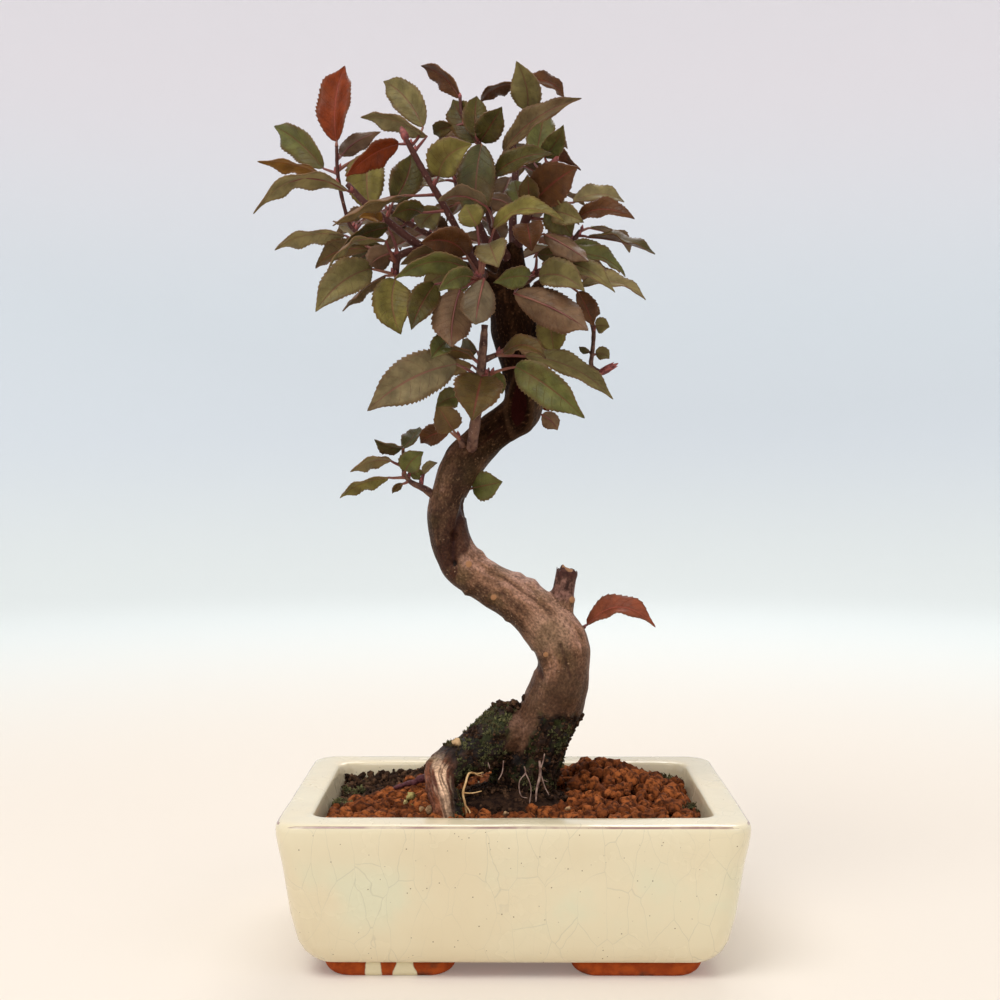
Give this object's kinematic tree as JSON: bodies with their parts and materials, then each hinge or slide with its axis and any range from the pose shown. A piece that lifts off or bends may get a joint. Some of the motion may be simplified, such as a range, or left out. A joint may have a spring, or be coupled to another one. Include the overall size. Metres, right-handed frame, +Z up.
{
  "type": "apple bonsai",
  "caption": "S-curved apple bonsai with a leafy crown, rooted in red-brown akadama grains in a rectangular cream-glazed pot on low feet.",
  "frame": {"origin": "below the middle of the whole object's box, at the underside of the pot's feet", "axes": "+Z up, +X along the pot's length to the viewer's right, -Y toward the viewer"},
  "size_m": [0.1946, 0.1304, 0.3675],
  "materials": {
    "glaze": "glossy crackle",
    "drain_net": "matte",
    "old_soil": "rough",
    "akadama": "rough",
    "bark": "rough",
    "leaf": "satin"
  },
  "bodies": {
    "root": {"pot": "glaze", "drain_net_left": "drain_net", "drain_net_right": "drain_net", "root_ball": "old_soil", "akadama": "akadama", "trunk": "bark", "shoot_left": "leaf", "spray_left_low": "leaf", "shoot_front_left": "leaf", "shoot_top": "leaf", "shoot_right_top": "leaf", "shoot_right": "leaf", "twig_right_hanging": "leaf", "shoot_front_low": "leaf", "spray_low_left": "leaf", "spray_behind_trunk": "leaf", "leaf_trunk_middle": "leaf", "leaf_trunk_low": "leaf", "twig_left": "leaf", "shoot_back_left": "leaf", "shoot_back_middle": "leaf", "shoot_back_right": "leaf", "shoot_back_upper": "leaf"}
  },
  "joints": []
}
